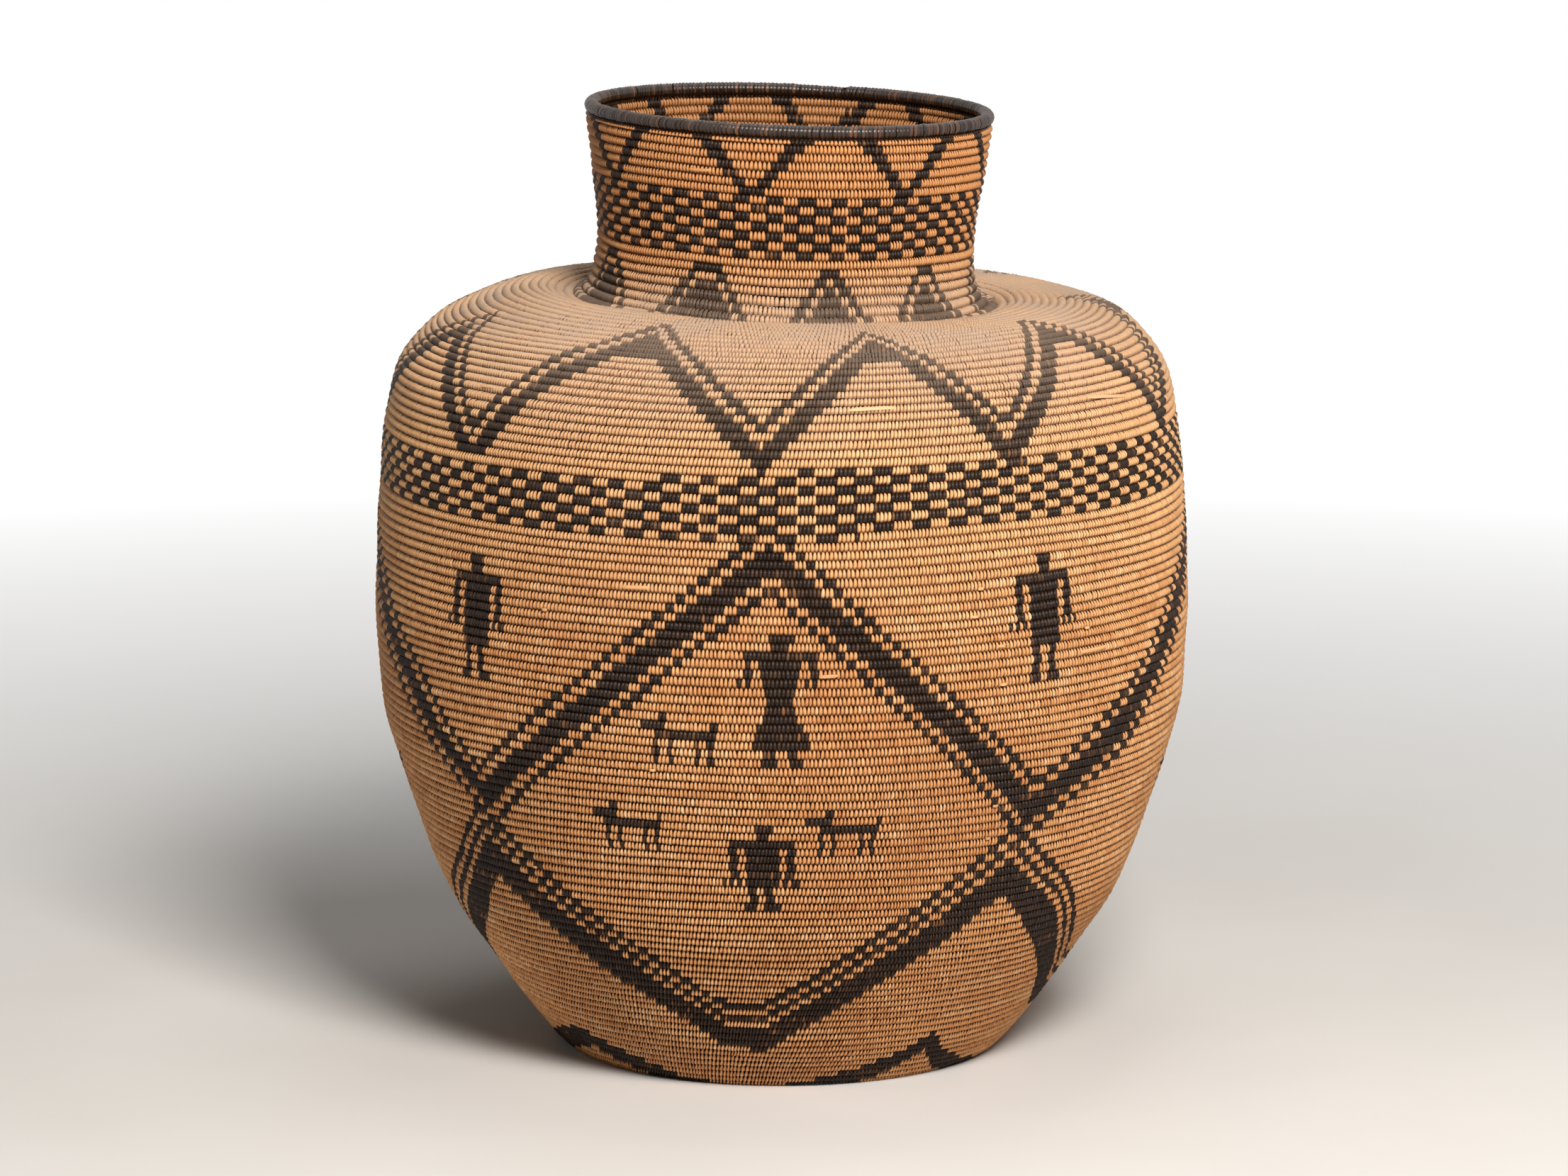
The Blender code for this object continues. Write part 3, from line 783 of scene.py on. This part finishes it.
def painted_shade_rims(graph, tone, sides, ends):
    """Painted shade down both edges and at both ends: each is (where from, how much, tone)."""
    start, most, shade = sides
    across = graph.math("ABSOLUTE", graph.value("across"))
    tone = graph.mix(graph.spread(across, start, 1.0, 0.0, most), tone, shade)
    start, most, shade = ends
    from_highlight = graph.math("ABSOLUTE", graph.math("SUBTRACT", graph.value("along"), PAINTED_HIGHLIGHT_PART))
    return graph.mix(graph.spread(from_highlight, start, 0.5, 0.0, most), tone, shade)


def finish_fibres(graph, tone, fibres, roughness, relief):
    """The last step: colour, a roughness that follows the fibres, and their relief in metres."""
    graph.join(tone, graph.shader.inputs["Base Color"])
    graph.join(graph.spread(fibres, 0.3, 0.7, *roughness), graph.shader.inputs["Roughness"])
    bump = graph.add("ShaderNodeBump")
    graph.join(fibres, bump.inputs["Height"])
    graph.join(relief, bump.inputs["Distance"])
    graph.join(0.6, bump.inputs["Strength"])
    graph.join(bump.outputs["Normal"], graph.shader.inputs["Normal"])
    return graph.material


# %% [markdown]
# Willow is a pale honey wood that goes from straw to tan from splint to splint. It has browned in
# patches where hands and smoke reached and aged brown on the neck, and the upper wall is
# painted paler, as painted light. One flat brown would look like plastic here. Inside the basket
# it is painted darker, as painted shade, and has no dust.

# %% Willow
# heights in metres where the upper wall's painted light grows, then where the neck's aged brown does
PAINTED_LIGHT_HEIGHTS = (0.27, 0.37)
AGED_HEIGHTS = (0.452, 0.485)


def willow_material(name, inside=False):
    graph = Finish(name)
    position = graph.position()
    tint = graph.ramp(graph.value("splint"), [
        (0.0, colour(198, 136, 86)), (0.3, colour(222, 162, 106)),
        (0.7, colour(236, 180, 124)), (1.0, colour(250, 208, 158))])
    fibres = splint_fibres(graph)
    tone = graph.mix(graph.spread(fibres, 0.38, 0.60, 0.45, 0.0), tint, colour(146, 88, 46))
    handled = graph.spread(graph.noise(position, 5.5, 3.0, 0.55), 0.42, 0.66, 0.0, 0.3)
    tone = graph.mix(handled, tone, colour(168, 102, 52))
    # painted light: the upper wall is painted paler, standing in for the brighter light on it
    painted_light = graph.math("MULTIPLY", by_height(graph, position, *PAINTED_LIGHT_HEIGHTS), 0.4)
    tone = graph.mix(painted_light, tone, colour(255, 208, 154))
    aged = graph.math("MULTIPLY", by_height(graph, position, *AGED_HEIGHTS), 0.66)
    tone = graph.mix(aged, tone, colour(196, 126, 70))
    # painted shade: browner down the splint's edges and at its ends, where they turn away
    tone = painted_shade_rims(graph, tone, sides=(0.35, 0.85, colour(104, 56, 26)),
                       ends=(0.22, 0.8, colour(84, 44, 20)))
    # painted shade: inside the basket the willow is mixed darker and browner
    if inside:
        tone = graph.mix(0.3, tone, colour(112, 74, 44))
    else:
        tone = graph.mix(dust_on_top(graph, position, 0.95), tone, colour(174, 153, 135))
    return finish_fibres(graph, tone, fibres, (0.3, 0.44), 0.00008)


WILLOW = willow_material("willow_splints")
WILLOW_INSIDE = willow_material("willow_splints_inside", inside=True)
print("the willow has", len(WILLOW.node_tree.nodes), "nodes")

# %% [markdown]
# Devil's claw is a black seed pod, split in the same way. It is nearly black, with grey-brown
# fibres, and now and then a splint still has some brown of the pod in it. The rim has been
# polished by hands, so its claw is the same finish with more gloss.

# %% Devil's claw
def claw_material(name, gloss, smooth):
    graph = Finish(name)
    tint = graph.ramp(graph.value("splint"), [
        (0.0, colour(30, 22, 18)), (0.4, colour(40, 29, 23)), (0.72, colour(54, 39, 30)),
        (0.86, colour(84, 58, 41)), (1.0, colour(140, 94, 58))])
    fibres = splint_fibres(graph)
    tone = graph.mix(graph.spread(fibres, 0.52, 0.72, 0.0, 0.55), tint, colour(108, 84, 66))
    # painted shade: near black down the splint's edges and at its ends
    tone = painted_shade_rims(graph, tone, sides=(0.3, 0.85, colour(18, 13, 11)),
                       ends=(0.2, 0.7, colour(16, 12, 10)))
    tone = graph.mix(dust_on_top(graph, graph.position(), 0.75), tone, colour(142, 120, 102))
    graph.join(gloss, graph.shader.inputs["Specular IOR Level"])
    return finish_fibres(graph, tone, fibres, (smooth, smooth + 0.16), 0.00014)


CLAW = claw_material("devils_claw_splints", gloss=0.16, smooth=0.26)
POLISHED_CLAW = claw_material("polished_rim_claw", gloss=0.36, smooth=0.2)
print("the devil's claw has", len(CLAW.node_tree.nodes), "nodes")

# %% [markdown]
# The rods inside the coil are in deep shade, so they are painted a near-black brown, as painted
# shade. Only a dark brown grain is left of them.

# %% The rods inside the coil
def painted_shade_rod_material():
    graph = Finish("shaded_rods")
    grain = graph.noise(graph.position(), 400.0, 3.0, 0.6)
    # painted shade: near-black browns stand in for the deep shade round the rods
    tone = graph.ramp(grain, [(0.3, colour(22, 12, 7)), (0.7, colour(44, 25, 13))])
    graph.join(tone, graph.shader.inputs["Base Color"])
    graph.join(0.95, graph.shader.inputs["Roughness"])
    graph.join(0.02, graph.shader.inputs["Specular IOR Level"])
    return graph.material


PAINTED_SHADE_RODS = painted_shade_rod_material()
print("made the material", PAINTED_SHADE_RODS.name)

# %% [markdown]
# Behind the stitches runs the coil itself. It only shows as darkness in the notches, but without
# it one could look through the wall. It is drawn as a closed band for each stretch: round ribs
# outside, round ribs inside, joined along both edges. Its ends stop just short of the middle of
# the base and of the mouth.

# %% The coil behind the stitches
RIB = ((0.0, 0.0029), (0.3, 0.00112), (0.7, 0.00145))
COLUMNS = 96
FROM_MIDDLE = 0.0002
FROM_MOUTH = 0.0006


def coil_grid(place, up, depth, inside):
    """Points some courses above a starting place."""
    length = np.clip((place + up) * PITCH, FROM_MIDDLE, WALL_LENGTH - FROM_MOUTH)
    return on_uneven_wall(length, depth, SEAM - 2 * np.pi * place, inside)


def ring_faces(columns, around):
    """Four-sided faces between columns of points that each go once round a section."""
    a, b = np.meshgrid(np.arange(columns), np.arange(around), indexing="ij")
    after = (b + 1) % around
    return a * around + b, a * around + after, (a + 1) * around + after, (a + 1) * around + b


def coil_band(name, first, last):
    """A closed body that follows the spiral from one course to another."""
    shares = [(course + share, depth) for course in range(first, last) for share, depth in RIB]
    share, depth = np.array([*shares, (last, RIB[0][1])]).T
    turn = np.arange(COLUMNS + 1) / COLUMNS
    place, up = np.broadcast_arrays(first + turn[:, None], share[None, :] - first)
    outer = coil_grid(place, up, depth[None, :], False)
    inner = coil_grid(place, up, depth[None, :], True)[:, ::-1]
    points = np.concatenate([outer, inner], axis=1)
    faces = np.stack(ring_faces(COLUMNS, 2 * len(share)), axis=-1).reshape(-1, 4)
    piece = mesh_piece(name, points.reshape(-1, 3), faces, None, {}, PAINTED_SHADE_RODS)


print("the band has", COLUMNS, "columns a turn and", len(RIB), "points a rib")

# %% [markdown]
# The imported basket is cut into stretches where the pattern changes. Each stretch gets its coil,
# its willow and its devil's claw, outside and inside, and the willow stands in for the packed
# node of that name.

# %% Sew every stretch
STRETCH_ENDS = (
    ("start_knot", 3), ("base_coils", 18), ("foot_coils", 24), ("heel_coils", 29),
    ("base_point_coils", 34), ("lower_zigzag_coils", 45), ("upper_zigzag_coils", 60),
    ("lower_net_coils", 79), ("upper_net_coils", 97), ("check_band_coils", 105),
    ("shoulder_zigzag_coils", 115), ("shoulder_top_coils", 127), ("ledge_coils", 133),
    ("neck_foot_coils", 140), ("neck_check_coils", 147), ("mouth_coils", COURSES),
)
first = 0
for node, last in STRETCH_ENDS:
    here = (stitches >= first) & (stitches < last)
    light_here = np.flatnonzero(here & ~dark)
    dark_here = np.flatnonzero(here & dark)
    willow = stitched_piece(f"{node}_willow", light_here, OUTSIDE_STATIONS, WILLOW)
    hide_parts(node)
    stitched_piece(f"{node}_willow_inside", light_here, INSIDE_STATIONS, WILLOW_INSIDE,
                   inside=True)
    if len(dark_here):
        stitched_piece(f"{node}_claw", dark_here, OUTSIDE_STATIONS, CLAW)
        stitched_piece(f"{node}_claw_inside", dark_here, INSIDE_STATIONS, CLAW,
                       inside=True)
    coil_band(f"{node}_rods", first, last)
    print(node, len(light_here), "light and", len(dark_here), "dark stitches")
    first = last

# %% [markdown]
# The last coil is the rim. It isn't sewn stitch by stitch into a pattern: one splint of devil's
# claw is wrapped over it closely, all the way round, and every wrap goes down through the course
# below. A wrap is a thin band that runs round the coil's section, so each is drawn as its own
# band, a little slanted. At the back the coil was thinned and bound down against its own start.

# %% The rim's wraps
RIM_COIL_RADIUS = 0.004
RIM_GAP = 0.0003
RIM_HEIGHT = RIM_GAP + RIM_COIL_RADIUS * math.cos(math.pi / 8)
RIM_DEPTH = 0.0038
RIM_WRAPS = 306
TAPER_STARTS = 17 / 18
TAPER_ENDS = 0.86
WRAP_TURNS = np.radians((-52, -24, 4, 32, 60, 90, 120, 148, 176, 204, 232))
WRAP_SLANT = 0.0016
WRAP_EDGE_DROP = 0.00045
WRAP_TUCK = ((-0.0026, 0.0021), (-0.0024, 0.0044))
TUCK_TURNS = (-1.3, 4.4)
TUCKED_WIDTH = 0.45
MID_SPLINT = 0.45


def rim_size(places):
    """How thick the rim coil is at these places, as a share."""
    return 1 + (TAPER_ENDS - 1) * np.clip((places - TAPER_STARTS) / (1 - TAPER_STARTS), 0, 1)


def wrap_points(places):
    """Points of the wraps at these places round the rim, each a band round the coil."""
    count = len(places)
    width = np.pi * MOUTH[0] / RIM_WRAPS * own.normal(1.0, 0.07, count)
    radius = RIM_COIL_RADIUS * rim_size(places) + own.normal(0, 0.00009, count)
    slant = WRAP_SLANT * own.normal(1.0, 0.18, count)
    side = ACROSS[None, None, :]
    turn = WRAP_TURNS[None, :, None]
    round_coil = radius[:, None, None] - WRAP_EDGE_DROP * side**2
    lift = (RIM_HEIGHT * rim_size(places))[:, None, None] + round_coil * np.sin(turn)
    depth = RIM_DEPTH - round_coil * np.cos(turn)
    lift, depth = np.broadcast_arrays(lift, depth)
    ends = np.broadcast_to(np.array(WRAP_TUCK)[None, :, :, None], (count, 2, 2, 3))
    lift = np.concatenate([ends[:, :1, 0], lift, ends[:, 1:, 0]], axis=1)
    depth = np.concatenate([ends[:, :1, 1], depth, ends[:, 1:, 1]], axis=1)
    bend = np.cos([TUCK_TURNS[0], *WRAP_TURNS, TUCK_TURNS[1]])[None, :, None]
    narrow = np.ones(lift.shape[1])
    narrow[[0, -1]] = TUCKED_WIDTH
    along = width[:, None, None] * side * narrow[None, :, None] + slant[:, None, None] * bend
    angle = SEAM - 2 * np.pi * (places[:, None, None] + along / (2 * np.pi * MOUTH[0]))
    return on_wall(WALL_LENGTH + lift, depth, angle)


def wrapped_piece(name, places):
    points = wrap_points(places)
    count, along, across = shape = points.shape[:3]
    values = {
        "splint": np.broadcast_to(0.3 + 0.6 * own.random(count)[:, None, None], shape),
        "along": np.full(shape, MID_SPLINT),
        "across": np.broadcast_to(ACROSS[None, None, :], shape),
    }
    piece = mesh_piece(name, points.reshape(-1, 3), grid_faces(count, along, across),
                       stitch_tiles(count, along, across), values, POLISHED_CLAW)
    return piece


print("a wrap is", round(2000 * math.pi * MOUTH[0] / RIM_WRAPS, 2), "mm wide")

# %% [markdown]
# The wraps lie on a bunched coil, a little thinner than they are, which shuts the slits between
# them. It is a ring whose lower part reaches down onto the last course.

# %% The coil in the rim
CORE_COLUMNS = 180
CORE_AROUND = 12
CORE_INSIDE_WRAPS = 0.0006
CORE_REACHES_DOWN = 0.0012
LOWER_PART = -0.4


def rim_core():
    around = np.arange(CORE_AROUND) * 2 * np.pi / CORE_AROUND
    places = np.arange(CORE_COLUMNS) / CORE_COLUMNS
    radius = (RIM_COIL_RADIUS * rim_size(places) - CORE_INSIDE_WRAPS)[:, None]
    lift = (RIM_HEIGHT * rim_size(places))[:, None] + radius * np.sin(around)
    lift = np.where(np.sin(around) < LOWER_PART, lift - CORE_REACHES_DOWN, lift)
    depth = RIM_DEPTH - radius * np.cos(around)
    angle = np.broadcast_to((SEAM - 2 * np.pi * places)[:, None], lift.shape)
    points = on_wall(WALL_LENGTH + lift, depth, angle)
    faces = np.stack(ring_faces(CORE_COLUMNS, CORE_AROUND), axis=-1) % (CORE_COLUMNS * CORE_AROUND)
    piece = mesh_piece("rim_core", points.reshape(-1, 3), faces.reshape(-1, 4), None, {}, PAINTED_SHADE_RODS)


rim_core()
print("the coil in the rim is closed, with", CORE_COLUMNS, "columns")

# %% Wrap the rim
wrap_places = (np.arange(RIM_WRAPS) + 0.5) / RIM_WRAPS
rim = wrapped_piece("rim_wraps", wrap_places[wrap_places < TAPER_STARTS])
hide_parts("rim_wrapping")
coil_end = wrapped_piece("coil_end_wraps", wrap_places[wrap_places >= TAPER_STARTS])
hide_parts("coil_end")
print("the rim has", RIM_WRAPS, "wraps")

# %% [markdown]
# A splint that runs out is not knotted. Its end is laid along the coil, and a few of the next
# stitches hold it down. Here and there an old end has come out and lies bare, pale and flat, and
# the tips of others stick out as short stubs. They are the small faults that say a thing was
# made by hand. Those in front are placed where the photograph shows them, and the back has a few.

# %% Ends of splints
END_WIDTH = 0.0023
LAID_ENDS = (
    # left bearing and row, right bearing and row, width as a share
    (9.8, 110.4, 16.3, 110.5, 1.0), (50, 109.4, 60, 108.6, 0.8), (-22, 90.4, -18, 90.5, 0.9),
    (-53.5, 82.4, -50.5, 82.5, 0.9), (5, 81.3, 7.5, 81.4, 0.8), (45, 81.5, 50.5, 81.6, 0.9),
    (-29, 149.4, -22, 149.6, 0.8), (-50, 110.4, -47, 110.5, 0.5), (120, 88.4, 128, 88.6, 0.9),
    (-150, 61.4, -144, 61.6, 0.9), (168, 110.4, 176, 110.5, 0.8),
)
STUBS = (
    # bearing and row
    (-34, 87.1), (31, 83.5), (28, 90.2), (27, 87.3), (31.5, 79.3), (46.3, 84.1), (32, 65.1),
    (31.8, 61.1), (15, 38.6), (-18, 70.2), (-41, 56.3), (61, 58.4), (100, 66.2), (-120, 90.3),
    (150, 45.4), (-160, 84.3), (18, 146.4), (48, 150.3),
)
STUB_REACH = 0.45
STUB_WIDTH = 0.7
POINTS_ALONG = 9
END_NARROWS = 0.35
END_STANDS_PROUD = 0.00042
END_IS_CROWNED = 0.0004
END_TUCKS_IN = 0.0007


def laid_end(left, left_row, right, right_row, share_wide):
    """Points along a flat splint that lies over the stitches and tucks in at both ends."""
    t = np.linspace(0, 1, POINTS_ALONG)
    to_end = np.abs(2 * t - 1)
    row_below = math.floor(left_row)
    place = row_below + (SEAM_BEARING - left - (right - left) * t) / 360 % 1
    half = END_WIDTH * share_wide / 2 / PITCH * (1 - END_NARROWS * to_end**6)
    share = left_row - row_below + (right_row - left_row) * t
    share = share[:, None] + half[:, None] * ACROSS[None, :]
    tucked = END_TUCKS_IN * to_end[:, None] ** 4
    depth = END_IS_CROWNED * ACROSS[None, :] ** 2 - END_STANDS_PROUD + tucked
    place, share, depth = np.broadcast_arrays(place[:, None], share, depth)
    return on_coil(place, share, depth)


def stub(centre, level):
    return laid_end(centre - STUB_REACH, level, centre + STUB_REACH, level, STUB_WIDTH)


def make_laid_ends():
    points = np.array([laid_end(*end) for end in LAID_ENDS] + [stub(*place) for place in STUBS])
    count, along, across = shape = points.shape[:3]
    values = {
        "splint": np.broadcast_to(0.5 + 0.3 * own.random(count)[:, None, None], shape),
        "along": np.full(shape, MID_SPLINT),
        "across": np.broadcast_to(0.3 * ACROSS[None, None, :], shape),
    }
    piece = mesh_piece("laid_splint_ends", points.reshape(-1, 3), grid_faces(count, along, across),
                       stitch_tiles(count, along, across), values, WILLOW)


make_laid_ends()
print("ends laid bare:", len(LAID_ENDS), "and stubs:", len(STUBS))

# %% [markdown]
# The rods inside the rim are hidden by its wraps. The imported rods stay, and only get the look of
# peeled willow in place of their plain colour.

# %% Rods in the rim
def peeled_rod_material():
    graph = Finish("peeled_rods")
    grain = graph.noise(graph.position(), 260.0, 4.0, 0.6)
    tone = graph.ramp(grain, [(0.3, colour(150, 104, 60)), (0.7, colour(206, 164, 108))])
    return finish_fibres(graph, tone, grain, (0.5, 0.7), 0.00006)


PEELED = peeled_rod_material()
for node in ("upper_rim_rod", "outer_rim_rod", "inner_rim_rod"):
    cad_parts[node].material_slots[0].material = PEELED
print("three rods in the rim")

# %% [markdown]
# The studio is plain: a pale floor that keeps the basket's shadow, and a white backdrop. Far from
# the basket the floor turns into the backdrop's white, so that no edge shows. That white is only
# for what the camera sees, straight or in a reflection, so it throws no light on the basket.

# %% Floor
FLOOR_SIZE = 8.0
FLOOR_FADES = (0.45, 2.0)


def seen_directly(graph):
    """1 for what the camera sees, also in a mirror or through glass, and 0 for the lighting."""
    rays = graph.add("ShaderNodeLightPath")
    seen = graph.math("MAXIMUM", rays.outputs["Is Camera Ray"], rays.outputs["Is Glossy Ray"])
    return graph.math("MAXIMUM", seen, rays.outputs["Is Transmission Ray"])


def mixed_shader(graph, amount, first, second, output):
    mixed = graph.add("ShaderNodeMixShader")
    graph.join(amount, mixed.inputs["Fac"])
    graph.join(first, mixed.inputs[1])
    graph.join(second, mixed.inputs[2])
    graph.join(mixed.outputs[0], graph.tree.nodes[output].inputs["Surface"])


def make_floor():
    bpy.ops.mesh.primitive_plane_add(size=FLOOR_SIZE)
    floor = bpy.context.object
    floor.name = "floor"
    graph = Finish("pale_floor")
    position = graph.position()
    mottle = graph.noise(position, 3.0, 3.0, 0.5)
    tone = graph.ramp(mottle, [(0.3, colour(222, 220, 217)), (0.7, colour(229, 227, 225))])
    graph.join(tone, graph.shader.inputs["Base Color"])
    graph.join(0.9, graph.shader.inputs["Roughness"])
    far = graph.add("ShaderNodeVectorMath", operation="LENGTH")
    graph.join(position, far.inputs[0])
    fade = graph.spread(far.outputs["Value"], *FLOOR_FADES)
    fade = graph.math("MULTIPLY", fade, seen_directly(graph))
    white = graph.add("ShaderNodeEmission")
    mixed_shader(graph, fade, graph.shader.outputs[0], white.outputs[0], "Material Output")
    floor.data.materials.append(graph.material)


make_floor()
print("the floor fades out by", FLOOR_FADES[1], "metres")

# %% [markdown]
# A little warm light comes from all round and fills the notches between the stitches. It is kept
# weak, because the dark notches are what makes the weave read.

# %% Backdrop
FILL_STRENGTH = 0.09
FILL_COLOUR = (1, 0.94, 0.87, 1)
WHITE = (1, 1, 1, 1)


def make_backdrop():
    world = bpy.data.worlds.new("backdrop")
    bpy.context.scene.world = world
    world.use_nodes = True
    graph = Graph(world.node_tree)
    fill = graph.tree.nodes["Background"]
    graph.join(FILL_COLOUR, fill.inputs["Color"])
    graph.join(FILL_STRENGTH, fill.inputs["Strength"])
    white = graph.add("ShaderNodeBackground")
    graph.join(WHITE, white.inputs["Color"])
    mixed_shader(graph, seen_directly(graph), fill.outputs[0], white.outputs[0], "World Output")


make_backdrop()
print("the fill light's strength is", FILL_STRENGTH)

# %% [markdown]
# The main lamp is high in front and nearly a metre wide, so each course is bright on its crown and
# dark below, and the shadows are soft. Two weak lamps keep the sides from going black, and one
# above lights the shoulder and the rim.

# %% Lamps
LAMPS = (
    # name, place, size in metres, watts, colour
    ("main_lamp", (0.65, -2.22, 2.05), 0.9, 112, (1.0, 0.955, 0.90)),
    ("left_lamp", (-2.2, -1.6, 1.0), 1.0, 0.6, (1.0, 0.9, 0.8)),
    ("right_lamp", (2.3, -1.2, 1.2), 1.0, 1.0, (1.0, 0.9, 0.8)),
    ("top_lamp", (0.1, 0.3, 2.4), 1.0, 9, (1.0, 0.98, 0.95)),
)


def aim_at(lamp, target):
    direction = target - lamp.location
    lamp.rotation_euler = direction.to_track_quat("-Z", "Y").to_euler()


for name, place, size, watts, tint in LAMPS:
    data = bpy.data.lights.new(name, "AREA")
    data.size, data.energy, data.color = size, watts, tint
    lamp = bpy.data.objects.new(name, data)
    lamp.location = place
    bpy.context.scene.collection.objects.link(lamp)
    aim_at(lamp, (CAD_LOW + CAD_HIGH) / 2)

bpy.context.scene.view_settings.view_transform = "Standard"
print("lamps:", ", ".join(name for name, *rest in LAMPS))
